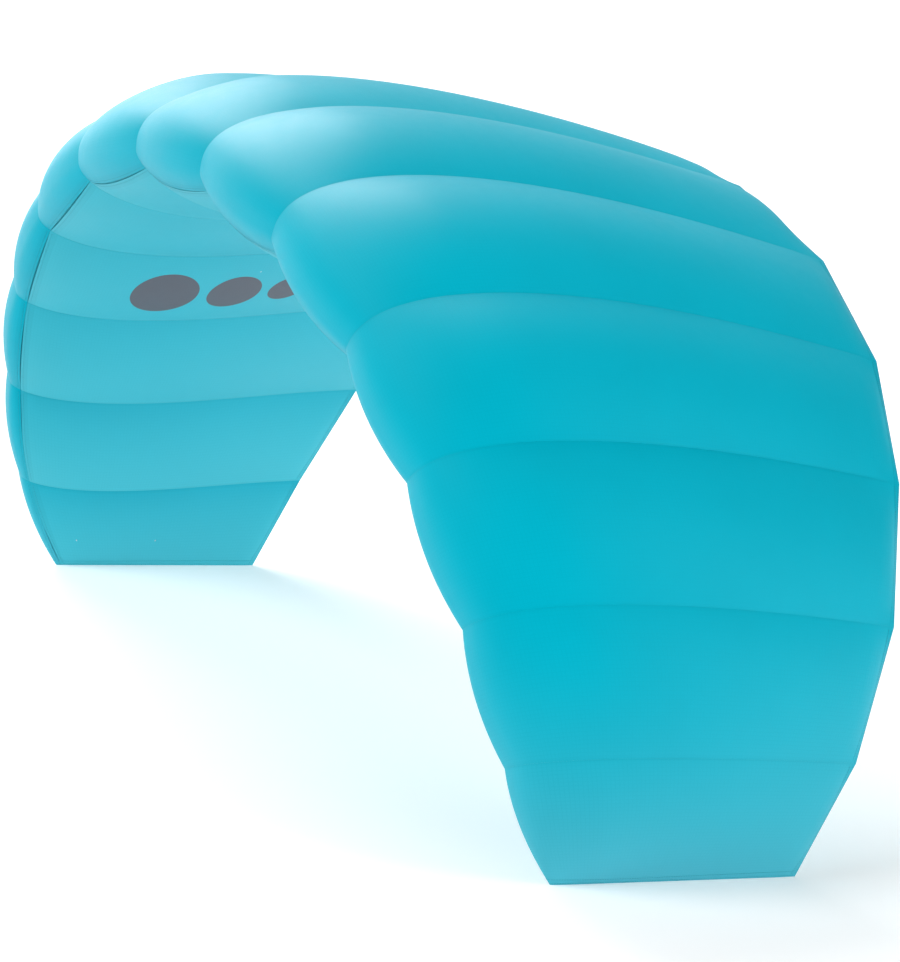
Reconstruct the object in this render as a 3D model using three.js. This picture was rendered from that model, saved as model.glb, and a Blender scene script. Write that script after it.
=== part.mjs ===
// A trainer kite: a ram-air canopy of thirteen inflated cells, standing on its two closed tips.
// X runs across the span, the noses point towards -Y, and Z is up. All lengths are in millimetres.
import * as THREE from 'three';

// Cloth and seams
const SKIN = 2;              // thickness of the upper and lower panels
const RIB = 1.0;             // thickness of a rib
const SEAM_GAP = 0.3;        // space between two pieces that are sewn together
const MOUTH = 2.4;           // widest opening of the air intake, in the middle of a cell
const COLOURS = { upper: '#14b4d0', lower: '#35bad3', rib: '#7fcfe0' };
const FINISH = { roughness: 0.6, metalness: 0 };

// Half of the canopy, from the tip to the middle. The cell of a row lies between its rib and the next row's.
// width: the cell across its nose line. fall: how steeply that cell runs down to the tip, in degrees.
// lean: how far the rib leans outwards, in degrees. nose: how far back its nose lies. chord: nose to tail.
// crown and belly: the highest rise of the upper and lower side over the chord line, as a share of the chord.
// lift: rise of the tail over the nose, and toe: outward turn of the tail, both as a share of the chord.
const RIBS = [
  { width: 138, fall: 88.4, lean: 90.0, nose: 206, chord: 320, crown: 0, belly: 0, lift: 0, toe: 0 },
  { width: 159, fall: 71.6, lean: 68.5, nose: 137, chord: 456, crown: 0.173, belly: 0.083, lift: 0.004, toe: 0.007 },
  { width: 183, fall: 55.1, lean: 61.2, nose: 92, chord: 562, crown: 0.170, belly: 0.080, lift: 0.008, toe: 0.004 },
  { width: 195, fall: 41.6, lean: 51.2, nose: 54, chord: 651, crown: 0.150, belly: 0.074, lift: 0.007, toe: 0 },
  { width: 227, fall: 26.6, lean: 36.5, nose: 28, chord: 715, crown: 0.134, belly: 0.075, lift: 0.003, toe: 0.004 },
  { width: 238, fall: 11.6, lean: 21.2, nose: 7, chord: 764, crown: 0.119, belly: 0.086, lift: -0.004, toe: 0.008 },
  { width: 231, fall: 0, lean: 4.1, nose: 0, chord: 768, crown: 0.111, belly: 0.084, lift: 0.018, toe: 0.004 },
];

// Shape of a rib's two sides along the chord: how fast they rise behind the nose and fall to the tail
const UPPER_SIDE = { rise: 0.396, fall: 1.053 };
const LOWER_SIDE = { rise: 0.551, fall: 1.532 };
const EVEN_RIB = { crown: 0.12, belly: 0.09 };  // gives the cloth's direction, also where a tip is flat

// Ballooning between two ribs, as a share of the cell's width
const BALLOON = { upper: 0.1141, nose: 0.0570, lower: 0.0583 };
const BALLOON_REACH = { upper: 0.2, lower: 0.12 };  // share of the chord over which it grows behind the nose
const BALLOON_END = 0.2124;                         // how late it dies out before the tail

// Where the pieces end, as shares of the chord
const LIP = 0.0195;          // the upper panel wraps the nose and ends here on the lower side
const TAIL_HEM = 0.95;       // front edge of the tail hem; a rib ends here

// Steps of the surfaces
const UPPER_STEPS = 11;
const NOSE_STEPS = 2;
const LOWER_STEPS = 8;
const UPPER_ACROSS = 6;
const LOWER_ACROSS = 4;
const NOSE_CROWDING = 2.5;   // above 1, the upper stations crowd towards the nose
const FACING_STEP = 0.01;    // share of the chord over which the outline's direction is taken

const LAST = 2 * RIBS.length - 1;   // number of the last rib; both 0 and LAST are flat tips

const smooth = (t) => THREE.MathUtils.smoothstep(t, 0, 1);
const bow = (across) => 4 * across * (1 - across);   // 0 at two ribs and 1 half way between them

// Height of a rib's side, 0 at the nose and the tail and 1 at its highest
function sideHeight(share, { rise, fall }) {
  const top = rise / (rise + fall);
  const peak = top ** rise * (1 - top) ** fall;
  return (share ** rise * (1 - share) ** fall) / peak;
}

// A station on a rib's outline: share of the chord, above or below it
const above = (share) => ({ share, side: 1 });
const below = (share) => ({ share, side: -1 });

// Place of a station in the rib's own plane, as shares of the chord: back from the nose, and out of the arch
function outlinePoint({ share, side }, { crown, belly }) {
  const height = side > 0 ? crown * sideHeight(share, UPPER_SIDE) : -belly * sideHeight(share, LOWER_SIDE);
  return new THREE.Vector2(share, height);
}

// Direction in which the cloth faces at a station, in the rib's own plane
function outlineFacing({ share, side }) {
  if (share === 0) return new THREE.Vector2(-1, 0);
  const step = Math.min(FACING_STEP, share / 2);
  const before = outlinePoint({ share: Math.max(share - step, 0), side }, EVEN_RIB);
  const after = outlinePoint({ share: Math.min(share + step, 1), side }, EVEN_RIB);
  const along = after.sub(before).normalize();
  return new THREE.Vector2(-along.y, along.x).multiplyScalar(side);
}

// Places of the ribs along the arch. The tip's edge is at height 0.
function ribFrames() {
  const feet = [];
  let x = RIBS.at(-1).width / 2;
  let z = 0;
  for (const row of RIBS.slice(0, -1).reverse()) {
    feet.push({ x, z });
    const fall = THREE.MathUtils.degToRad(row.fall);
    x += row.width * Math.cos(fall);
    z -= row.width * Math.sin(fall);
  }
  feet.push({ x, z });
  feet.reverse();
  const frames = [];
  for (let number = 0; number <= LAST; number += 1) {
    const index = Math.min(number, LAST - number);
    const half = number === index ? 1 : -1;
    const row = RIBS[index];
    const lean = THREE.MathUtils.degToRad(row.lean);
    const out = new THREE.Vector3(half * Math.sin(lean), 0, Math.cos(lean));
    const along = new THREE.Vector3(half * Math.cos(lean), 0, -Math.sin(lean));
    const back = new THREE.Vector3(0, 1, 0).addScaledVector(along, row.toe).normalize();
    frames.push({
      ...row,
      half,
      out,
      back,
      flank: new THREE.Vector3().crossVectors(back, out).normalize(),  // square to the rib, towards +X
      foot: new THREE.Vector3(half * feet[index].x, row.nose, feet[index].z - z),
    });
  }
  return frames;
}

// A station's place on a rib and the direction in which the cloth faces there
function onRib(rib, station) {
  const flat = outlinePoint(station, rib);
  const place = rib.foot.clone();
  place.addScaledVector(rib.back, flat.x * rib.chord);
  place.addScaledVector(rib.out, (flat.y + rib.lift * flat.x) * rib.chord);
  const turn = outlineFacing(station);
  const facing = new THREE.Vector3().addScaledVector(rib.back, turn.x).addScaledVector(rib.out, turn.y);
  return { place, facing };
}

// How far the cloth stands out between two ribs, as a share of the cell's width
function balloon({ share, side }) {
  const most = side > 0 ? BALLOON.upper : BALLOON.lower;
  const reach = side > 0 ? BALLOON_REACH.upper : BALLOON_REACH.lower;
  const grown = THREE.MathUtils.lerp(BALLOON.nose, most, smooth(share / reach));
  return grown * (1 - share) ** BALLOON_END;
}

// A place on the cloth of the cell between two ribs; across runs from 0 at the first to 1 at the second
function onCell(first, second, station, across) {
  const a = onRib(first, station);
  const b = onRib(second, station);
  const swell = a.facing.clone().add(b.facing).normalize();
  const height = bow(across) * balloon(station) * a.place.distanceTo(b.place);
  const place = a.place.clone().lerp(b.place, across).addScaledVector(swell, height);
  const facing = a.facing.clone().lerp(b.facing, across).normalize();
  // The panel's edge keeps half a seam's gap to the middle of the rib.
  if (across === 0) place.addScaledVector(first.flank, -SEAM_GAP / 2);
  if (across === 1) place.addScaledVector(second.flank, SEAM_GAP / 2);
  return { place, facing };
}

// One closed sheet between an outer and an inner net of points with the same rows and columns
function sheetGeometry(outer, inner) {
  const rows = outer.length;
  const columns = outer[0].length;
  const points = [...outer.flat(), ...inner.flat()];
  const at = (layer, row, column) => layer * rows * columns + row * columns + column;
  const faces = [];
  const quad = (a, b, c, d) => faces.push(a, b, c, a, c, d);
  for (let r = 0; r < rows - 1; r += 1) {
    for (let c = 0; c < columns - 1; c += 1) {
      quad(at(0, r, c), at(0, r, c + 1), at(0, r + 1, c + 1), at(0, r + 1, c));
      quad(at(1, r, c), at(1, r + 1, c), at(1, r + 1, c + 1), at(1, r, c + 1));
    }
    quad(at(0, r, 0), at(0, r + 1, 0), at(1, r + 1, 0), at(1, r, 0));
    quad(at(0, r + 1, columns - 1), at(0, r, columns - 1), at(1, r, columns - 1), at(1, r + 1, columns - 1));
  }
  for (let c = 0; c < columns - 1; c += 1) {
    quad(at(0, 0, c + 1), at(0, 0, c), at(1, 0, c), at(1, 0, c + 1));
    quad(at(0, rows - 1, c), at(0, rows - 1, c + 1), at(1, rows - 1, c + 1), at(1, rows - 1, c));
  }
  const geometry = new THREE.BufferGeometry().setFromPoints(points);
  geometry.setIndex(faces);
  geometry.computeVertexNormals();
  return geometry;
}

// A panel of a cell over a list of stations, its inner face half a gap outside the ribs' line
function panelGeometry(first, second, stations, steps, edgeShift) {
  const outer = [];
  const inner = [];
  for (const station of stations) {
    const outerRow = [];
    const innerRow = [];
    for (let step = 0; step <= steps; step += 1) {
      const across = step / steps;
      const { place, facing } = onCell(first, second, station, across);
      if (station === stations[0]) place.add(edgeShift(across));
      outerRow.push(place.clone().addScaledVector(facing, SEAM_GAP / 2 + SKIN));
      innerRow.push(place.clone().addScaledVector(facing, SEAM_GAP / 2));
    }
    outer.push(outerRow);
    inner.push(innerRow);
  }
  return sheetGeometry(outer, inner);
}

// The upper side from the tail to the nose, and on below it to the lip. Steps are finer towards the nose.
const upperStations = [above(1), above(TAIL_HEM)];
for (let k = UPPER_STEPS - 1; k >= 0; k -= 1) {
  upperStations.push(above((k / UPPER_STEPS) ** NOSE_CROWDING));
}
for (let k = 1; k <= NOSE_STEPS; k += 1) {
  upperStations.push(below(LIP * (k / NOSE_STEPS) ** 2));
}

// The lower side from the lip to the tail
const lowerStations = [];
const lipRoot = Math.sqrt(LIP);
for (let k = 0; k < LOWER_STEPS; k += 1) {
  lowerStations.push(below(THREE.MathUtils.lerp(lipRoot, 1, k / LOWER_STEPS) ** 2));
}
lowerStations.push(below(TAIL_HEM), below(1));

function upperPanel(first, second) {
  return panelGeometry(first, second, upperStations, UPPER_ACROSS, () => new THREE.Vector3());
}

// The lower panel's front edge draws back from the lip and leaves the air intake, widest in mid-cell.
function lowerPanel(first, second) {
  const drawBack = (across) => {
    const lip = onCell(first, second, lowerStations[0], across).place;
    const next = onCell(first, second, lowerStations[1], across).place;
    const wide = SEAM_GAP + MOUTH * bow(across);
    return next.sub(lip).setLength(wide);
  };
  return panelGeometry(first, second, lowerStations, LOWER_ACROSS, drawBack);
}

// A rib is a flat piece inside the skins, half a gap within their line, cut off at the tail hem.
function ribGeometry(rib) {
  const stations = [...upperStations.slice(1), ...lowerStations.slice(1, -1)];
  const rim = stations.map((station) => {
    const { place, facing } = onRib(rib, station);
    return place.addScaledVector(facing, -SEAM_GAP / 2);
  });
  const flat = rim.map((place) => {
    const arm = place.clone().sub(rib.foot);
    return new THREE.Vector2(arm.dot(rib.back), arm.dot(rib.out));
  });
  const near = rim.map((place) => place.clone().addScaledVector(rib.flank, RIB / 2));
  const far = rim.map((place) => place.clone().addScaledVector(rib.flank, -RIB / 2));
  const count = rim.length;
  const faces = [];
  for (const [a, b, c] of THREE.ShapeUtils.triangulateShape(flat, [])) {
    const turn = flat[b].clone().sub(flat[a]).cross(flat[c].clone().sub(flat[a]));
    const [p, q] = turn > 0 ? [b, c] : [c, b];
    faces.push(a, p, q, count + a, count + q, count + p);
  }
  for (let k = 0; k < count; k += 1) {
    const next = (k + 1) % count;
    faces.push(k, count + k, count + next, k, count + next, next);
  }
  const geometry = new THREE.BufferGeometry().setFromPoints([...near, ...far]);
  geometry.setIndex(faces);
  geometry.computeVertexNormals();
  return geometry;
}

const canopy = new THREE.Group();

function addPiece(kind, number, geometry) {
  const material = new THREE.MeshStandardMaterial({ color: COLOURS[kind], ...FINISH });
  const mesh = new THREE.Mesh(geometry, material);
  mesh.name = `${kind}_${String(number).padStart(2, '0')}`;
  canopy.add(mesh);
}

// Cell 1 is the tip cell at +X. Rib 1 lies between cells 1 and 2.
const ribs = ribFrames();
for (let cell = 1; cell <= LAST; cell += 1) {
  addPiece('upper', cell, upperPanel(ribs[cell - 1], ribs[cell]));
  addPiece('lower', cell, lowerPanel(ribs[cell - 1], ribs[cell]));
}
for (let number = 1; number < LAST; number += 1) addPiece('rib', number, ribGeometry(ribs[number]));

// The origin is under the middle of the canopy's box, on the surface that it stands on.
const box = new THREE.Box3().setFromObject(canopy);
const middle = box.getCenter(new THREE.Vector3());
canopy.position.set(-middle.x, -middle.y, -box.min.z);

export default canopy;
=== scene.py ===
import math

import bpy
import numpy as np
from mathutils import Matrix, Vector


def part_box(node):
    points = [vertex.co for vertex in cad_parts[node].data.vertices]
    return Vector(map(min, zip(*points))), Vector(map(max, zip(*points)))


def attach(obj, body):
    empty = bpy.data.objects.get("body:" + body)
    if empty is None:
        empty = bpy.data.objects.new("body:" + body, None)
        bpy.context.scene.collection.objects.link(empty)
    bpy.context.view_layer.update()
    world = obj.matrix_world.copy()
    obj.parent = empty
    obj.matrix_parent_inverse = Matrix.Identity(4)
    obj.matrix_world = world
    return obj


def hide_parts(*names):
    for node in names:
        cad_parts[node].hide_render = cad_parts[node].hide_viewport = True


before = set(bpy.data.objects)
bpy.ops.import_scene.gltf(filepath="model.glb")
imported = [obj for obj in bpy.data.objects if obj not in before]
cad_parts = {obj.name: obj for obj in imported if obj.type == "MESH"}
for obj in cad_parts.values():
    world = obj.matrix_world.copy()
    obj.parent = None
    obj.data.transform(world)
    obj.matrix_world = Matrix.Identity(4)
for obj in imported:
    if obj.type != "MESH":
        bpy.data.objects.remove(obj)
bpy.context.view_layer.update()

# A trainer kite: a ram-air canopy of cyan cloth, standing on its two closed tips. All lengths are in metres.

# Half of the canopy, from the tip to the middle. The cell of a row lies between its rib and the next row's,
# and the last row's cell between the two middle ribs.
# width: the cell across its nose line. fall: how steeply that cell runs down to the tip, in degrees.
# lean: how far the rib leans outwards, in degrees. nose: how far back its nose lies. chord: nose to tail.
# crown and belly: the most that the upper and lower side stand off the chord line, as a share of the chord.
# lift: rise of the tail over the nose, and toe: outward turn of the tail, both as a share of the chord.
COLUMNS = ("width", "fall", "lean", "nose", "chord", "crown", "belly", "lift", "toe")
ROWS = (
    (0.138, 88.4, 90.0, 0.206, 0.320, 0, 0, 0, 0),
    (0.159, 71.6, 68.5, 0.137, 0.456, 0.173, 0.083, 0.004, 0.007),
    (0.183, 55.1, 61.2, 0.092, 0.562, 0.170, 0.080, 0.008, 0.004),
    (0.195, 41.6, 51.2, 0.054, 0.651, 0.150, 0.074, 0.007, 0),
    (0.227, 26.6, 36.5, 0.028, 0.715, 0.134, 0.075, 0.003, 0.004),
    (0.238, 11.6, 21.2, 0.007, 0.764, 0.119, 0.086, -0.004, 0.008),
    (0.231, 0, 4.1, 0, 0.768, 0.111, 0.084, 0.018, 0.004),
)
HALF = [dict(zip(COLUMNS, row)) for row in ROWS]
LAST = 2 * len(HALF) - 1             # number of the last rib, and of the cells
MIDDLE_RIB = len(HALF) - 1           # the first of the two middle ribs

# Shape of a rib's sides: the powers by which they rise behind the nose and fall to the tail
UPPER_SIDE = (0.396, 1.053)
LOWER_SIDE = (0.551, 1.532)

# The cloth faces as it would on an even rib, also where a tip is flat
EVEN_CROWN, EVEN_BELLY = 0.12, 0.09
FACING_STEP = 0.004                  # share of the chord over which the slope is taken
TINY = 1e-12                         # keeps a slope of no length from dividing by zero

# Ballooning between two ribs, as a share of the cell's width
BALLOON_UPPER, BALLOON_NOSE, BALLOON_LOWER = 0.1141, 0.0570, 0.0583
REACH_UPPER, REACH_LOWER = 0.2, 0.12     # share of the chord over which it changes behind the nose
BALLOON_END = 0.2124                 # power by which it dies away at the tail

# Cloth, seams and edges
HALF_GAP = 0.00015                   # half of the space that the solids keep at a seam
NOSE_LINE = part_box(f"rib_{MIDDLE_RIB:02d}")[0][1] - HALF_GAP
CLOTH = 0.0006
RIB_CLOTH = 0.00016
PROUD = 0.00215                      # the cloth's outer face over the ribs' line
PROUD_AT_TAIL = 0.0007
TAIL_TAPER = 0.06                    # share of the chord over which the skins close up at the tail
SEAM_ALLOWANCE = 0.005               # each panel's long edges are turned in along the ribs
LOW_ALLOWANCE, LEAST_ALLOWANCE = 0.4, 0.0002     # where the rib is low: share of its height, and the least
SEAM_TOP, SEAM_DEEP = 0.00002, 0.00012   # its distance from the rib's plane, at the fold and at its raw edge
SHARP_ANGLE = math.radians(50)       # a fold sharper than this shows as a crease

# Ribs: where they end before the tail, and how far their rim lies under the ribs' line
RIB_END = 0.95
RIB_INSET = 0.0012
RIB_EDGE = 1.0                       # a rib has no hem, so its cloth counts as far from an edge

# Front edge of the lower panels: the upper panel ends at the lip, a share of the chord behind the nose.
# DRAWN_ROWS: shares of the intake's width by which the first rows draw back from the lip.
# TUCK_ROWS: the turned-in hem's rows, by how far each lies ahead of the edge and how deep below the surface.
LIP = 0.0195
DRAWN_ROWS = (1, 0.6, 0.25)
TUCK_ROWS = ((0.0050, 0.0030), (0.0026, 0.0030), (0.0008, 0.0022), (0.0001, 0.0008))

# Air intakes, from a tip's cell to the middle one: how wide each gapes, and between which shares of its cell
MOUTH_COLUMNS = ("gape", "first", "last")
MOUTH_ROWS = (
    (0.0012, 0.55, 1.00),
    (0.0007, 0.00, 0.50),
    (0.0014, 0.15, 0.95),
    (0.0022, 0.05, 1.00),
    (0.0026, 0.00, 1.00),
    (0.0026, 0.00, 1.00),
    (0.0022, 0.00, 1.00),
)
MOUTHS = [dict(zip(MOUTH_COLUMNS, row)) for row in MOUTH_ROWS]

# Steps of the surfaces
UPPER_STEPS, NOSE_STEPS, LOWER_STEPS = 72, 8, 56
ACROSS_STEPS = 28
RIB_STEPS = 40
NOSE_CROWDING = 2.5                  # power by which the upper panel's rows crowd at the nose

# Stitching
STITCH_PITCH = 0.0032
STITCH_LENGTH = 0.0024
THREAD_WIDTH = 0.00045
THREAD_SINK = 0.3                    # share of the thread's width that lies in the cloth
HEM_WIDTH = 0.011                    # folded hem at the tail and the intakes
HEM_ROWS = (0.0025, 0.0085)          # distances of the two rows from the edge, at the tail and at the tips
LIP_ROW = 0.004                      # distance of the row from the edge, at the intakes
SEAM_CLEAR = 0.004                   # a row of stitching stops this far from a seam
STITCH_RINGS = ((-0.5, 0.45), (-0.22, 1.0), (0.22, 1.0), (0.5, 0.45))   # shares of its length and width
RING_SIDES = 5
RING_TURNS = 2 * math.pi * np.arange(RING_SIDES) / RING_SIDES

# Three pale thread tacks on the far lower skin, each of a few thick stitches side by side
TACK_COLUMNS = ("cell", "share", "across")
TACK_ROWS = ((13, 0.125, 0.65), (13, 0.465, 0.65), (10, 0.48, 0.22))
TACK_LINE = 0.0055                   # length of a line that has one of the stitches in its middle
TACK_THREAD = 1.6 * THREAD_WIDTH
TACK_SHIFTS = (-0.5, 0, 0.5)         # places of the stitches, in thread widths

# Colours
CYAN_UPPER = (0.000, 0.380, 0.500, 1)
# The lower cloth's own cyan, with a touch of painted light from the floor that makes it paler than the
# upper's.
CYAN_LOWER_WITH_FLOOR_LIGHT = (0.020, 0.385, 0.498, 1)
CYAN_RIB = (0.05, 0.40, 0.50, 1)
# Painted light: the upper cloth's colour at the floor, and the lower cloth's at the lower seam of a steep
# cell.
PAINTED_FLOOR_LIGHT_UPPER = (0.070, 0.450, 0.560, 1)
PAINTED_LIGHT_LOWER = (0.070, 0.480, 0.575, 1)
GREY_PRINT = (0.115, 0.120, 0.145, 1)
THREAD_COLOUR = (0.000, 0.270, 0.350, 1)
TACK_COLOUR = (0.55, 0.62, 0.65, 1)
WHITE = (1, 1, 1, 1)

# Painted light from the floor: the upper cloth turns paler below a height, and most at the floor.
# Painted light down each cell: the lower cloth turns paler from each cell's upper seam to its lower one,
# and more so in a steep cell.
FLOOR_LIGHT_TOP, FLOOR_LIGHT_POWER = 0.35, 2.5     # the height, and the power by which the paleness grows below it
STEEPNESS = 4                        # power of the sine of a cell's fall
FALL_POWER = 0.7                     # power by which the paleness grows down a cell

# Coated ripstop cloth
BROAD_NOISE, BROAD_DETAIL = 5.0, 2.0     # its changes of tone
FINE_NOISE, FINE_DETAIL = 60.0, 3.0      # its small dents
TONE_LOW, TONE_HIGH = 0.3, 0.7       # values of the broad noise that give the darkest and the lightest tone
TONE_CHANGE = 0.02
DEEP_SHADE = 0.6                     # share of the colour in the deep shade of double cloth and grid threads
DOUBLE_SHARE, GRID_SHARE = 0.10, 0.08    # how far each turns to that shade
HEM_FADE = 0.0005                    # half of the width over which a hem's inner edge fades
THREAD_PITCH = 0.00045
RIPSTOP_PITCH = 0.005
GRID_CORE, GRID_EDGE = 0.0002, 0.0006    # distances from a grid thread's middle between which it ends
WEAVE_RELIEF, GRID_RELIEF, DENT_RELIEF = 0.12, 0.5, 0.8     # shares of the height of a hem
CLOTH_BUMP, CLOTH_RELIEF = 0.12, 0.0004
CLOTH_ROUGHNESS, ROUGHNESS_CHANGE = 0.5, 0.08
GLOSS, GLOSS_TINT = 0.5, (0.0, 0.0, 0.0, 1)     # no gloss face on, and most at a slant

# Sewing thread
PLY_NOISE = 900.0                    # its plies
PLY_SHADE = 0.8                      # share of the colour in the shade between them
PLY_BUMP, PLY_RELIEF = 0.3, 0.0001
THREAD_ROUGHNESS = 0.6

# Plain round dots, printed on one lower panel. along: middle, from the intake. All are lengths on the cloth.
PRINTED_CELL = 10
DOT_COLUMNS = ("along", "radius")
DOT_ROWS = ((0.195, 0.052), (0.305, 0.042), (0.392, 0.030))
DOTS = [dict(zip(DOT_COLUMNS, row)) for row in DOT_ROWS]
DOT_FADE = 0.0004                    # half of the width over which a dot's edge fades

# The floor is a light table, so shadows on it stay pale
FLOOR_SIZE = 120.0
FLOOR_COLOUR = (0.80, 0.80, 0.80, 1)
FLOOR_ROUGHNESS = 0.9
FLOOR_GLOW = 0.3

# The studio: bright white around the floor's edge, dimmer overhead
WORLD_LOW, WORLD_HIGH = 1.0, 0.05    # its light low down and overhead
LOW_SINE, HIGH_SINE = 0.05, 0.16     # sines of the elevations between which it dims

# Large soft lights. azimuth: from the nose side (-Y) towards +X, and elevation, both in degrees.
# strength: the light that a white sheet facing it sends back.
LIGHT_COLUMNS = ("name", "azimuth", "elevation", "strength")
LIGHT_ROWS = (
    ("key", -90, 40, 0.70),
    ("front", 0, 40, 0.62),
    ("front_left", -45, 40, 0.06),
    ("low_left", -90, 15, 0.22),
    ("low_front_left", -65, 25, 0.05),
    ("low_back_left", -110, 28, 0.03),
    ("low_far_left", -135, 15, 0.03),
    ("low_front_right", 45, 15, 0.03),
    ("low_right", 90, 15, 0.12),
    ("low_back_right", 135, 15, 0.37),
    ("back_right", 135, 40, 0.21),
)
LIGHT_SPREAD = math.radians(35)      # width of each, as the canopy sees it

# The camera stands to the right of the noses, a little above the canopy, with the photo's slight roll.
# Its angles are in degrees.
CAMERA_AZIMUTH, CAMERA_ELEVATION, CAMERA_ROLL = 64.361, 9.915, 5.426
CAMERA_DISTANCE = 5.2836
CAMERA_TARGET = Vector((0.1403, NOSE_LINE + 0.3730, 0.3302))
PHOTO_HEIGHT = 962
FOCAL_PIXELS = 4051.1
SENSOR = 36.0
VIEW_REACH = 200.0                   # how far it sees, past the floor's far edge


def smooth(t):
    """An even curve from 0 at 0 to 1 at 1, and level outside them."""
    t = np.clip(t, 0, 1)
    return t * t * (3 - 2 * t)


def bow(across):
    """0 at two ribs and 1 half way between them."""
    return 4 * across * (1 - across)


def unit(v):
    return v / np.linalg.norm(v, axis=-1, keepdims=True)


def pairs(first, second):
    """Two values for each point of a net."""
    return np.stack(np.broadcast_arrays(first, second), axis=-1)


def lengths(points):
    """Running length along a line of points."""
    return np.concatenate([[0], np.cumsum(np.linalg.norm(np.diff(points, axis=0), axis=1))])


# Shape of the ribs
def side_height(share, side):
    """Height of a rib's side, 0 at the nose and the tail and 1 at its highest."""
    rise = np.where(side > 0, UPPER_SIDE[0], LOWER_SIDE[0])
    fall = np.where(side > 0, UPPER_SIDE[1], LOWER_SIDE[1])
    top = rise / (rise + fall)
    return share**rise * (1 - share) ** fall / (top**rise * (1 - top) ** fall)


def outline_height(share, side, crown, belly):
    """How far the outline stands out from the chord line: up on the upper side, and down on the lower one."""
    return np.where(side > 0, crown, -belly) * side_height(share, side)


def outline_facing(share, side):
    """Direction in which the cloth faces in the rib's plane: back from the nose, and out of the arch."""
    step = np.minimum(FACING_STEP, share / 2)
    ahead, behind = np.minimum(share + step, 1), np.maximum(share - step, 0)
    run = ahead - behind
    rise = outline_height(ahead, side, EVEN_CROWN, EVEN_BELLY)
    rise = rise - outline_height(behind, side, EVEN_CROWN, EVEN_BELLY)
    length = np.hypot(run, rise) + TINY
    back, out = -rise / length * side, run / length * side
    at_nose = share == 0
    return np.where(at_nose, -1.0, back), np.where(at_nose, 0.0, out)


def rib_feet():
    """Where each rib of one half has its nose, in x and z, from the tip to the middle."""
    feet = [(HALF[-1]["width"] / 2, 0.0)]
    for row in reversed(HALF[:-1]):
        fall = math.radians(row["fall"])
        x, z = feet[-1]
        feet.append((x + row["width"] * math.cos(fall), z - row["width"] * math.sin(fall)))
    feet.reverse()
    floor = feet[0][1]
    return [(x, z - floor) for x, z in feet]


def rib_frames():
    """The ribs from the tip at +X to the tip at -X, each with its place and directions."""
    feet = rib_feet()
    frames = []
    for number in range(LAST + 1):
        index = min(number, LAST - number)
        half = 1 if number == index else -1
        row = HALF[index]
        lean = math.radians(row["lean"])
        out = np.array([half * math.sin(lean), 0, math.cos(lean)])
        along = np.array([half * math.cos(lean), 0, -math.sin(lean)])
        back = unit(np.array([0.0, 1.0, 0.0]) + row["toe"] * along)
        foot = np.array([half * feet[index][0], NOSE_LINE + row["nose"], feet[index][1]])
        frames.append(dict(row, out=out, back=back, flank=unit(np.cross(back, out)), foot=foot))
    return frames


FRAMES = rib_frames()


def on_rib(rib, share, side):
    """Places on a rib's outline and the directions in which the cloth faces there."""
    height = outline_height(share, side, rib["crown"], rib["belly"]) + rib["lift"] * share
    place = rib["foot"] + rib["chord"] * (share[:, None] * rib["back"] + height[:, None] * rib["out"])
    back, out = outline_facing(share, side)
    return place, back[:, None] * rib["back"] + out[:, None] * rib["out"]


# Shape of the cells
def row_of_cell(rows, cell):
    """A cell's row in a table that runs from a tip to the middle."""
    return rows[min(cell, LAST + 1 - cell) - 1]


def down_cell(cell, across):
    """Shares across a cell, counted from its upper seam to its lower one."""
    return across if 2 * cell > LAST else 1 - across


def downwards(cell, across):
    """How far down a cell's cloth lies, for its painted light:
    from 0 to 1 in a steep cell, and 0.5 all over in the level one.
    """
    steep = math.sin(math.radians(row_of_cell(HALF, cell)["fall"])) ** STEEPNESS
    return 0.5 + steep * (down_cell(cell, across) - 0.5)


def balloon(share, side):
    """How far the cloth stands out between two ribs, as a share of the cell's width."""
    most = np.where(side > 0, BALLOON_UPPER, BALLOON_LOWER)
    reach = np.where(side > 0, REACH_UPPER, REACH_LOWER)
    return (BALLOON_NOSE + (most - BALLOON_NOSE) * smooth(share / reach)) * (1 - share) ** BALLOON_END


def on_cell(cell, share, side, across):
    """Places and facings on a cell's cloth: a row for each station, a column for each value of across."""
    a, face_a = on_rib(FRAMES[cell - 1], share, side)
    b, face_b = on_rib(FRAMES[cell], share, side)
    swell = unit(face_a + face_b)[:, None, :]
    height = balloon(share, side) * np.linalg.norm(b - a, axis=1)
    t = across[None, :, None]
    place = (1 - t) * a[:, None, :] + t * b[:, None, :] + bow(t) * height[:, None, None] * swell
    return place, unit((1 - t) * face_a[:, None, :] + t * face_b[:, None, :])


def upper_stations():
    """Shares of the chord and sides, from the tail over the nose to the lip."""
    above = (np.arange(UPPER_STEPS, -1, -1) / UPPER_STEPS) ** NOSE_CROWDING
    below = LIP * (np.arange(1, NOSE_STEPS + 1) / NOSE_STEPS) ** 2
    return np.concatenate([above, below]), np.concatenate([np.ones(len(above)), -np.ones(len(below))])


def lower_stations():
    """Shares of the chord and sides, from the lip to the tail."""
    root = np.linspace(math.sqrt(LIP), 1, LOWER_STEPS + 1)
    return root**2, -np.ones(LOWER_STEPS + 1)


def stations_across():
    """Shares across a cell, a little closer together at its seams."""
    even = np.linspace(0, 1, ACROSS_STEPS + 1)
    crowded = 0.5 - 0.5 * np.cos(math.pi * even)
    return 0.5 * crowded + 0.5 * even


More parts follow.
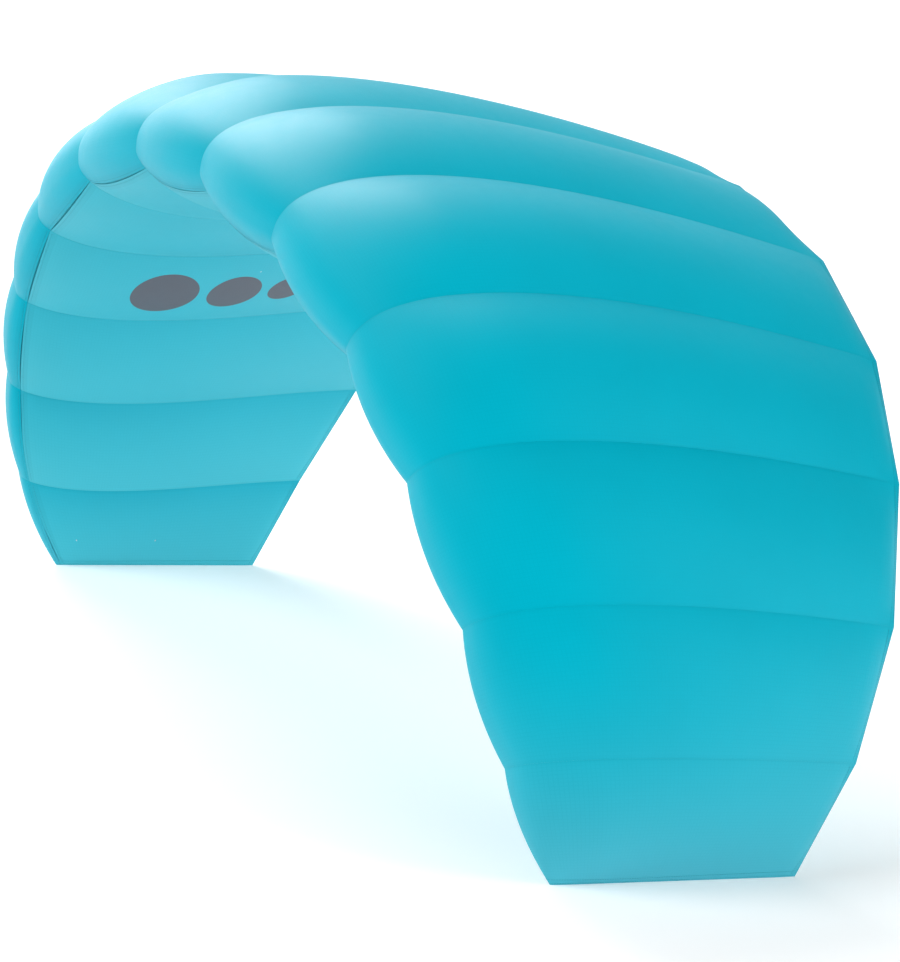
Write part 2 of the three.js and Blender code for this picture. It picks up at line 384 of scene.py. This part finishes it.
# Meshes
def mesh_object(name, points, faces, uvs=None):
    """An object of one smooth mesh, with a UV layer for each entry of uvs."""
    mesh = bpy.data.meshes.new(name)
    mesh.from_pydata([tuple(p) for p in points], [], faces)
    for layer, coords in (uvs or {}).items():
        uv = mesh.uv_layers.new(name=layer)
        loops = np.empty(len(mesh.loops), dtype=np.int32)
        mesh.loops.foreach_get("vertex_index", loops)
        uv.data.foreach_set("uv", np.asarray(coords)[loops].ravel())
    mesh.polygons.foreach_set("use_smooth", [True] * len(mesh.polygons))
    mesh.set_sharp_from_angle(angle=SHARP_ANGLE)
    mesh.validate()
    piece = bpy.data.objects.new(name, mesh)
    bpy.context.scene.collection.objects.link(piece)
    return piece


def sheet_faces(rows, columns):
    """Faces of a closed sheet whose outer net comes first and its inner net after it."""
    def at(layer, r, c):
        return layer * rows * columns + r * columns + c
    faces = []
    for r in range(rows - 1):
        for c in range(columns - 1):
            faces.append((at(0, r, c), at(0, r, c + 1), at(0, r + 1, c + 1), at(0, r + 1, c)))
            faces.append((at(1, r, c), at(1, r + 1, c), at(1, r + 1, c + 1), at(1, r, c + 1)))
        c = columns - 1
        faces.append((at(0, r, 0), at(0, r + 1, 0), at(1, r + 1, 0), at(1, r, 0)))
        faces.append((at(0, r + 1, c), at(0, r, c), at(1, r, c), at(1, r + 1, c)))
    r = rows - 1
    for c in range(columns - 1):
        faces.append((at(0, 0, c + 1), at(0, 0, c), at(1, 0, c), at(1, 0, c + 1)))
        faces.append((at(0, r, c), at(0, r, c + 1), at(1, r, c + 1), at(1, r, c)))
    return faces


def rib_faces(half):
    """Faces of a flat closed rib. Each of its two rims runs from the tail over the nose and back.

    half: the number of points from the tail to the nose.
    """
    count = 2 * half - 1
    faces = []
    for k in range(half - 1):
        corners = (k, k + 1, count - 2 - k, count - 1 - k)
        loop = list(dict.fromkeys(corners))
        faces.append(tuple(loop))
        faces.append(tuple(v + count for v in reversed(loop)))
    for k in range(count):
        following = (k + 1) % count
        faces.append((k, k + count, following + count, following))
    return faces


# Panels
class Surface:
    """Outer face of a panel: its net of points and the directions in which they face."""

    def __init__(self, cell, points, facing):
        self.cell, self.points, self.facing = cell, points, facing

    def turned(self, rows_first, from_last):
        """The net with its lines running away from one edge."""
        order = (0, 1, 2) if rows_first else (1, 0, 2)
        points, facing = self.points.transpose(order), self.facing.transpose(order)
        return (points[::-1], facing[::-1]) if from_last else (points, facing)

    def line_beside_edge(self, distance, rows_first, from_last):
        """Points and facings of a line that keeps its distance from one edge."""
        nets = self.turned(rows_first, from_last)
        line = []
        for k in range(nets[0].shape[1]):
            run = lengths(nets[0][:, k])
            if run[-1] > 2 * distance:
                line.append([np.interp(distance, run, net[:, k, axis]) for net in nets for axis in range(3)])
        line = np.array(line)
        return line[:, :3], unit(line[:, 3:])


def proud(share):
    """Height of the cloth's outer face over the ribs' line."""
    return PROUD_AT_TAIL + (PROUD - PROUD_AT_TAIL) * smooth((1 - share) / TAIL_TAPER)


def draw_back(cell, place, across):
    """The lower panel's front edge draws back from the lip and leaves the intake."""
    mouth = row_of_cell(MOUTHS, cell)
    open_share = (down_cell(cell, across) - mouth["first"]) / (mouth["last"] - mouth["first"])
    gape = mouth["gape"] * bow(np.clip(open_share, 0, 1))
    along = unit(place[1] - place[0])
    for row, share in enumerate(DRAWN_ROWS):
        place[row] += share * (2 * HALF_GAP + gape)[:, None] * along
    return place


def tucked(outer, facing):
    """The net with more rows ahead of its front edge, where the hem is turned in below the surface."""
    forward = unit(outer[0] - outer[1])
    rows = [outer[0] + ahead * forward - deep * facing[0] for ahead, deep in TUCK_ROWS]
    return np.concatenate([rows, outer]), np.concatenate([np.repeat(facing[:1], len(rows), axis=0), facing])


def turned_in(cell, share, outer, facing):
    """Outer and inner net of the sheet, each with a column more at both edges, turned in along the rib."""
    inner = outer - CLOTH * facing
    ends_outer, ends_inner = [], []
    for edge, rib, inwards in ((0, FRAMES[cell - 1], -1), (-1, FRAMES[cell], 1)):
        into = inwards * rib["flank"]
        low = LOW_ALLOWANCE * (share * (1 - share)) ** 0.5 * rib["chord"] * rib["crown"]
        depth = np.minimum(SEAM_ALLOWANCE, low + LEAST_ALLOWANCE)
        end = outer[:, edge] - depth[:, None] * facing[:, edge] + SEAM_DEEP * into
        outer[:, edge] += SEAM_TOP * into
        inner[:, edge] = outer[:, edge] + CLOTH * (into - facing[:, edge])
        ends_outer.append(end[:, None])
        ends_inner.append(end[:, None] + CLOTH * into)
    outer = np.concatenate([ends_outer[0], outer, ends_outer[1]], axis=1)
    inner = np.concatenate([ends_inner[0], inner, ends_inner[1]], axis=1)
    return outer, inner


def cloth_maps(cell, outer, hidden):
    """A panel's UV layers, its width at each row, and how far along it each row lies behind the hidden ones.

    Cloth: lengths across and along it. Edge: lengths to the nearer seam and the nearer end.
    Fall: how far down the cell it lies, which sets the painted light down the cell.
    """
    rows, columns = outer.shape[:2]
    along = lengths(outer[:, columns // 2])
    along -= along[hidden]
    wide = lengths(outer[rows // 2])
    steps = np.linalg.norm(np.diff(outer[:, 1:-1], axis=1), axis=2)
    spread = steps.sum(axis=1)
    reach = np.concatenate([np.zeros((rows, 2)), np.cumsum(steps, axis=1), spread[:, None]], axis=1)
    to_seam = np.minimum(reach, spread[:, None] - reach)
    to_end = np.minimum(np.abs(along), along[-1] - along)
    down = downwards(cell, reach / spread[:, None])
    maps = {
        "Cloth": pairs((wide - wide[-1] / 2)[None, :], along[:, None]),
        "Edge": pairs(to_seam, to_end[:, None]),
        "Fall": pairs(down, down),
    }
    return maps, spread, along


def panel(name, cell, share, side, open_front=False):
    """A cell's panel: a thin closed sheet, its two long edges turned in along the ribs."""
    across = stations_across()
    place, facing = on_cell(cell, share, side, across)
    if open_front:
        place = draw_back(cell, place, across)
    outer = place + proud(share)[:, None, None] * facing
    surface = Surface(cell, outer.copy(), facing)
    hidden = 0
    if open_front:
        outer, facing = tucked(outer, facing)
        hidden = len(TUCK_ROWS)
        share = np.concatenate([np.repeat(share[:1], hidden), share])
    outer, inner = turned_in(cell, share, outer, facing)
    maps, spread, along = cloth_maps(cell, outer, hidden)
    points = np.concatenate([outer.reshape(-1, 3), inner.reshape(-1, 3)])
    uvs = {layer: np.tile(values.reshape(-1, 2), (2, 1)) for layer, values in maps.items()}
    piece = mesh_object(name, points, sheet_faces(*outer.shape[:2]), uvs)
    return piece, surface, float(spread.max()), float(along[-1] - along[0]), float(np.trapz(spread, along))


def flat_area(section):
    """Area inside a closed line of flat points."""
    following = np.roll(section, -1, axis=0)
    return 0.5 * abs(float(np.sum(section[:, 0] * following[:, 1] - following[:, 0] * section[:, 1])))


def rib_piece(name, number):
    """A rib: a flat piece between the skins, its rim just under their seam."""
    rib = FRAMES[number]
    top = np.linspace(RIB_END**0.5, 0, RIB_STEPS + 1) ** 2
    share = np.concatenate([top, top[::-1][1:]])
    side = np.concatenate([np.ones(len(top)), -np.ones(len(top) - 1)])
    rim, facing = on_rib(rib, share, side)
    rim = rim - RIB_INSET * facing
    points = np.concatenate([rim + RIB_CLOTH / 2 * rib["flank"], rim - RIB_CLOTH / 2 * rib["flank"]])
    flat = pairs((points - rib["foot"]) @ rib["back"], (points - rib["foot"]) @ rib["out"])
    uvs = {"Cloth": flat, "Edge": np.full(flat.shape, RIB_EDGE)}
    piece = mesh_object(name, points, rib_faces(len(top)), uvs)
    long, deep = np.ptp(flat, axis=0)
    return piece, float(long), float(deep), flat_area(flat[:len(rim)])


# Stitches
def at_lengths(line, run, where):
    """Points or directions of a line at these running lengths."""
    return np.stack([np.interp(where, run, line[:, axis]) for axis in range(3)], axis=-1)


def stitch_places(points, facing, clear):
    """Middles, directions and facings of the stitches along a line."""
    run = lengths(points)
    usable = run[-1] - 2 * clear
    count = max(1, int(usable / STITCH_PITCH))
    middle = clear + usable * (np.arange(count) + 0.5) / count
    ahead = at_lengths(points, run, middle + STITCH_LENGTH / 2)
    behind = at_lengths(points, run, middle - STITCH_LENGTH / 2)
    return at_lengths(points, run, middle), unit(ahead - behind), unit(at_lengths(facing, run, middle))


def stitch_points(middle, way, up, width):
    """Rings of one stitch: a short length of thread with round ends, partly sunk in the cloth."""
    side = np.cross(way, up)
    points = []
    for along, thick in STITCH_RINGS:
        centre = middle + along * STITCH_LENGTH * way + (0.5 - THREAD_SINK) * width * up
        for turn in RING_TURNS:
            points.append(centre + thick * width / 2 * (math.cos(turn) * side + math.sin(turn) * up))
    return points


def stitch_faces(base):
    """Faces of the stitch whose points begin at this number."""
    faces = []
    for ring in range(len(STITCH_RINGS) - 1):
        start = base + ring * RING_SIDES
        for k in range(RING_SIDES):
            a, b = start + k, start + (k + 1) % RING_SIDES
            faces.append((a, a + RING_SIDES, b + RING_SIDES, b))
    last = base + (len(STITCH_RINGS) - 1) * RING_SIDES
    faces.append(tuple(base + k for k in range(RING_SIDES)))
    faces.append(tuple(last + k for k in reversed(range(RING_SIDES))))
    return faces


def stitching(name, lines, slot, clear=SEAM_CLEAR, width=THREAD_WIDTH, material="thread"):
    """One piece of thread that holds the stitches of all the lines."""
    points, faces = [], []
    for line in lines:
        for middle, way, up in zip(*stitch_places(*line, clear)):
            faces += stitch_faces(len(points))
            points += stitch_points(middle, way, up, width)
    finish_piece(mesh_object(name, points, faces), material, slot)


def tack_lines(cell, share, across):
    """Short lines side by side on the lower skin, one for each stitch of a tack."""
    place, facing = on_cell(cell, np.array([share]), -np.ones(1), np.array([across]))
    facing = facing[0, 0]
    place = place[0, 0] + PROUD * facing
    way = np.cross(facing, FRAMES[cell]["out"])
    beside = unit(np.cross(facing, way))
    half = TACK_LINE / 2 * unit(way)
    lines = []
    for shift in TACK_SHIFTS:
        middle = place + shift * TACK_THREAD * beside
        lines.append((np.stack([middle - half, middle + half]), np.stack([facing, facing])))
    return lines


# Materials
class Nodes:
    """Short calls for building the nodes of a material or a world."""

    def __init__(self, owner, shader="Principled BSDF"):
        owner.use_nodes = True
        self.owner = owner
        self.tree = owner.node_tree
        self.shader = self.tree.nodes[shader]

    def feed(self, node, inputs):
        """Sets or links sockets of a node."""
        for key, value in inputs.items():
            if isinstance(value, bpy.types.NodeSocket):
                self.tree.links.new(value, node.inputs[key])
            else:
                node.inputs[key].default_value = value

    def shade(self, inputs):
        """Sets or links sockets of the shader, and gives what it is the shader of."""
        self.feed(self.shader, inputs)
        return self.owner

    def add(self, kind, inputs=None, **settings):
        node = self.tree.nodes.new(kind)
        for key, value in settings.items():
            setattr(node, key, value)
        self.feed(node, inputs or {})
        return node

    def math(self, operation, *values):
        node = self.add("ShaderNodeMath", operation=operation)
        self.feed(node, dict(enumerate(values)))
        return node.outputs[0]

    def mix(self, factor, a, b):
        node = self.add("ShaderNodeMix", {"Factor": factor, "A": a, "B": b}, data_type="RGBA")
        return next(o for o in node.outputs if o.type == "RGBA")

    def ramp(self, value, low, high, at_low=0.0, at_high=1.0):
        """From at_low where the value is low to at_high where it is high."""
        inputs = {"Value": value, "From Min": low, "From Max": high, "To Min": at_low, "To Max": at_high}
        return self.add("ShaderNodeMapRange", inputs, interpolation_type="SMOOTHSTEP").outputs["Result"]

    def spot(self, space="Object"):
        """Where a point lies, in the piece's own space or another."""
        return self.add("ShaderNodeTexCoord").outputs[space]

    def split(self, vector):
        """The three numbers of a vector."""
        return self.add("ShaderNodeSeparateXYZ", {"Vector": vector}).outputs

    def uv(self, layer):
        x, y, _ = self.split(self.add("ShaderNodeUVMap", uv_map=layer).outputs["UV"])
        return x, y

    def noise(self, scale, detail=2.0):
        inputs = {"Vector": self.spot(), "Scale": scale, "Detail": detail}
        return self.add("ShaderNodeTexNoise", inputs).outputs["Fac"]

    def bump(self, height, strength, distance):
        inputs = {"Height": height, "Strength": strength, "Distance": distance}
        return self.add("ShaderNodeBump", inputs).outputs["Normal"]


def shaded(colour, share):
    return tuple(share * c for c in colour[:3]) + (1,)


def changing_tone(nodes, colour):
    """The colour with broad, faint changes of tone."""
    tone = nodes.ramp(nodes.noise(BROAD_NOISE, BROAD_DETAIL), TONE_LOW, TONE_HIGH)
    return nodes.mix(tone, shaded(colour, 1 - TONE_CHANGE), shaded(colour, 1 + TONE_CHANGE))


def painted_light_down_the_cell(nodes, base):
    """The base colour with painted light, paler towards the lower seam of a steep cell."""
    down, _ = nodes.uv("Fall")
    return nodes.mix(nodes.math("POWER", down, FALL_POWER), base, PAINTED_LIGHT_LOWER)


def painted_floor_light(nodes, base):
    """The base colour with painted light from the floor, paler towards it."""
    height = nodes.split(nodes.spot())["Z"]
    depth = nodes.math("SUBTRACT", 1.0, nodes.math("DIVIDE", height, FLOOR_LIGHT_TOP))
    below = nodes.math("LESS_THAN", height, FLOOR_LIGHT_TOP)
    share = nodes.math("MULTIPLY", nodes.math("POWER", depth, FLOOR_LIGHT_POWER), below)
    return nodes.mix(share, base, PAINTED_FLOOR_LIGHT_UPPER)


def printed_dots(nodes, base):
    """The print's colour in the dots, and the base around them."""
    x, y = nodes.uv("Cloth")
    shown = 0.0
    for dot in DOTS:
        rise = nodes.math("SUBTRACT", y, dot["along"])
        squares = nodes.math("ADD", nodes.math("MULTIPLY", x, x), nodes.math("MULTIPLY", rise, rise))
        apart = nodes.math("SQRT", squares)
        inside = nodes.ramp(apart, dot["radius"] - DOT_FADE, dot["radius"] + DOT_FADE, 1.0, 0.0)
        shown = nodes.math("MAXIMUM", shown, inside)
    return nodes.mix(shown, base, GREY_PRINT)


def plain_weave(nodes, x, y):
    """From -1 to 1 over the threads of a plain weave."""
    waves = [nodes.math("SINE", nodes.math("MULTIPLY", way, 2 * math.pi / THREAD_PITCH)) for way in (x, y)]
    return nodes.math("MULTIPLY", *waves)


def ripstop_grid(nodes, x, y):
    """1 on the thicker threads of the ripstop grid and 0 between them."""
    lines = []
    for way in (x, y):
        beside = nodes.math("PINGPONG", way, RIPSTOP_PITCH / 2)
        lines.append(nodes.ramp(beside, GRID_CORE, GRID_EDGE, 1.0, 0.0))
    return nodes.math("MAXIMUM", *lines)


def cloth_material(name, colour, pale=None, design=None):
    """Coated ripstop: a fine plain weave, a raised grid of thicker threads, and hems at its free edges.

    The last two arguments are functions that change its colour: the first paints light into it,
    under the grid, and the second paints a print over the grid.
    """
    nodes = Nodes(bpy.data.materials.new(name))
    x, y = nodes.uv("Cloth")
    from_seam, from_end = nodes.uv("Edge")
    fine = nodes.noise(FINE_NOISE, FINE_DETAIL)
    grid = ripstop_grid(nodes, x, y)
    hem = nodes.ramp(from_end, HEM_WIDTH - HEM_FADE, HEM_WIDTH + HEM_FADE, 1.0, 0.0)
    double = nodes.math("MAXIMUM", hem, nodes.ramp(from_seam, 0.0, SEAM_ALLOWANCE, 1.0, 0.0))

    base = changing_tone(nodes, colour)
    # Painted light, for the cloth that has it.
    if pale is not None:
        base = pale(nodes, base)
    for mask, share in ((double, DOUBLE_SHARE), (grid, GRID_SHARE)):
        base = nodes.mix(nodes.math("MULTIPLY", mask, share), base, shaded(colour, DEEP_SHADE))
    if design is not None:
        base = design(nodes, base)

    height = hem
    for relief, share in ((plain_weave(nodes, x, y), WEAVE_RELIEF), (grid, GRID_RELIEF), (fine, DENT_RELIEF)):
        height = nodes.math("ADD", height, nodes.math("MULTIPLY", relief, share))
    worn = nodes.math("MULTIPLY", fine, ROUGHNESS_CHANGE)
    return nodes.shade({
        "Base Color": base,
        "Normal": nodes.bump(height, CLOTH_BUMP, CLOTH_RELIEF),
        "Roughness": nodes.math("ADD", CLOTH_ROUGHNESS - ROUGHNESS_CHANGE / 2, worn),
        "Specular IOR Level": GLOSS,
        "Specular Tint": GLOSS_TINT,
    })


def thread_material(name, colour):
    nodes = Nodes(bpy.data.materials.new(name))
    ply = nodes.noise(PLY_NOISE)
    return nodes.shade({
        "Base Color": nodes.mix(ply, colour, shaded(colour, PLY_SHADE)),
        "Normal": nodes.bump(ply, PLY_BUMP, PLY_RELIEF),
        "Roughness": THREAD_ROUGHNESS,
    })


def floor_material():
    return Nodes(bpy.data.materials.new("floor")).shade({
        "Base Color": FLOOR_COLOUR,
        "Roughness": FLOOR_ROUGHNESS,
        "Emission Color": WHITE,
        "Emission Strength": FLOOR_GLOW,
    })


MATERIALS = {
    "upper": cloth_material("upper_cloth", CYAN_UPPER, painted_floor_light),
    "lower": cloth_material("lower_cloth", CYAN_LOWER_WITH_FLOOR_LIGHT, painted_light_down_the_cell),
    "printed": cloth_material("printed_lower_cloth", CYAN_LOWER_WITH_FLOOR_LIGHT, painted_light_down_the_cell, printed_dots),
    "rib": cloth_material("rib_cloth", CYAN_RIB),
    "thread": thread_material("sewing_thread", THREAD_COLOUR),
    "tack": thread_material("tack_thread", TACK_COLOUR),
}


# The pieces
def finish_piece(piece, material, slot, *nodes):
    piece.data.materials.append(MATERIALS[material])
    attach(piece, "root")
    if nodes:
        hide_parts(*nodes)


def upper_panel(cell):
    piece, surface, wide, long, area = panel(f"upper_panel_{cell:02d}", cell, *upper_stations())
    finish_piece(piece, "upper", "upper_skin", f"upper_{cell:02d}")
    return surface


def lower_panel(cell):
    name = f"lower_panel_{cell:02d}"
    piece, surface, wide, long, area = panel(name, cell, *lower_stations(), open_front=True)
    finish_piece(piece, "printed" if cell == PRINTED_CELL else "lower", "lower_skin", f"lower_{cell:02d}")
    return surface


def inner_rib(number):
    piece, long, deep, area = rib_piece(f"inner_rib_{number:02d}", number)
    finish_piece(piece, "rib", "rib", f"rib_{number:02d}")


def skin_stitching(side, panels, tail_last):
    """Thread of a skin: two rows at its tail and at its tips, and one beside the intakes' lip."""
    tail = [p.line_beside_edge(d, rows_first=True, from_last=tail_last) for d in HEM_ROWS for p in panels]
    lip = [p.line_beside_edge(LIP_ROW, rows_first=True, from_last=not tail_last) for p in panels]
    tips = [
        p.line_beside_edge(d, rows_first=False, from_last=p.cell == LAST)
        for d in HEM_ROWS for p in (panels[0], panels[-1])
    ]
    for place, lines in (("tail", tail), ("lip", lip), ("tip", tips)):
        stitching(f"{side}_{place}_stitching", lines, f"{side}_skin")


def thread_tacks():
    lines = []
    for row in TACK_ROWS:
        lines += tack_lines(**dict(zip(TACK_COLUMNS, row)))
    stitching("thread_tacks", lines, "lower_skin", clear=0, width=TACK_THREAD, material="tack")


# Floor, studio, lights and camera
def floor():
    bpy.ops.mesh.primitive_plane_add(size=FLOOR_SIZE)
    plane = bpy.context.object
    plane.name = "floor"
    plane.data.materials.append(floor_material())


def studio():
    """A white surrounding, brightest at the floor's far edge."""
    nodes = Nodes(bpy.data.worlds.new("studio"), "Background")
    sine = nodes.split(nodes.spot("Generated"))["Z"]
    strength = nodes.ramp(sine, LOW_SINE, HIGH_SINE, WORLD_LOW, WORLD_HIGH)
    bpy.context.scene.world = nodes.shade({"Color": WHITE, "Strength": strength})


def direction(azimuth, elevation):
    """Unit vector that points there from the origin."""
    azimuth, elevation = math.radians(azimuth), math.radians(elevation)
    level = math.cos(elevation)
    return Vector((math.sin(azimuth) * level, -math.cos(azimuth) * level, math.sin(elevation)))


def soft_light(name, azimuth, elevation, strength):
    light = bpy.data.lights.new(name, "SUN")
    light.angle, light.energy = LIGHT_SPREAD, math.pi * strength
    lamp = bpy.data.objects.new(name, light)
    lamp.rotation_euler = direction(azimuth, elevation).to_track_quat("Z", "Y").to_euler()
    bpy.context.scene.collection.objects.link(lamp)


def photo_camera():
    """The camera that frames the canopy as the photo does."""
    azimuth, roll = math.radians(CAMERA_AZIMUTH), math.radians(CAMERA_ROLL)
    to_camera = direction(CAMERA_AZIMUTH, CAMERA_ELEVATION)
    level_right = Vector((math.cos(azimuth), math.sin(azimuth), 0))
    level_up = to_camera.cross(level_right)
    right = math.cos(roll) * level_right + math.sin(roll) * level_up
    turn = Matrix((right, to_camera.cross(right), to_camera)).transposed().to_4x4()
    optics = bpy.data.cameras.new("camera")
    optics.sensor_width = SENSOR
    optics.lens = SENSOR * FOCAL_PIXELS / PHOTO_HEIGHT
    optics.clip_end = VIEW_REACH
    camera = bpy.data.objects.new("camera", optics)
    camera.matrix_world = Matrix.Translation(CAMERA_TARGET + CAMERA_DISTANCE * to_camera) @ turn
    bpy.context.scene.collection.objects.link(camera)
    bpy.context.scene.camera = camera


# The whole scene
uppers, lowers = [], []
for cell in range(1, LAST + 1):
    uppers.append(upper_panel(cell))
    lowers.append(lower_panel(cell))
for number in range(1, LAST):
    inner_rib(number)
skin_stitching("upper", uppers, tail_last=False)
skin_stitching("lower", lowers, tail_last=True)
thread_tacks()

floor()
studio()
for row in LIGHT_ROWS:
    soft_light(**dict(zip(LIGHT_COLUMNS, row)))
photo_camera()
bpy.context.scene.view_settings.view_transform = "Standard"
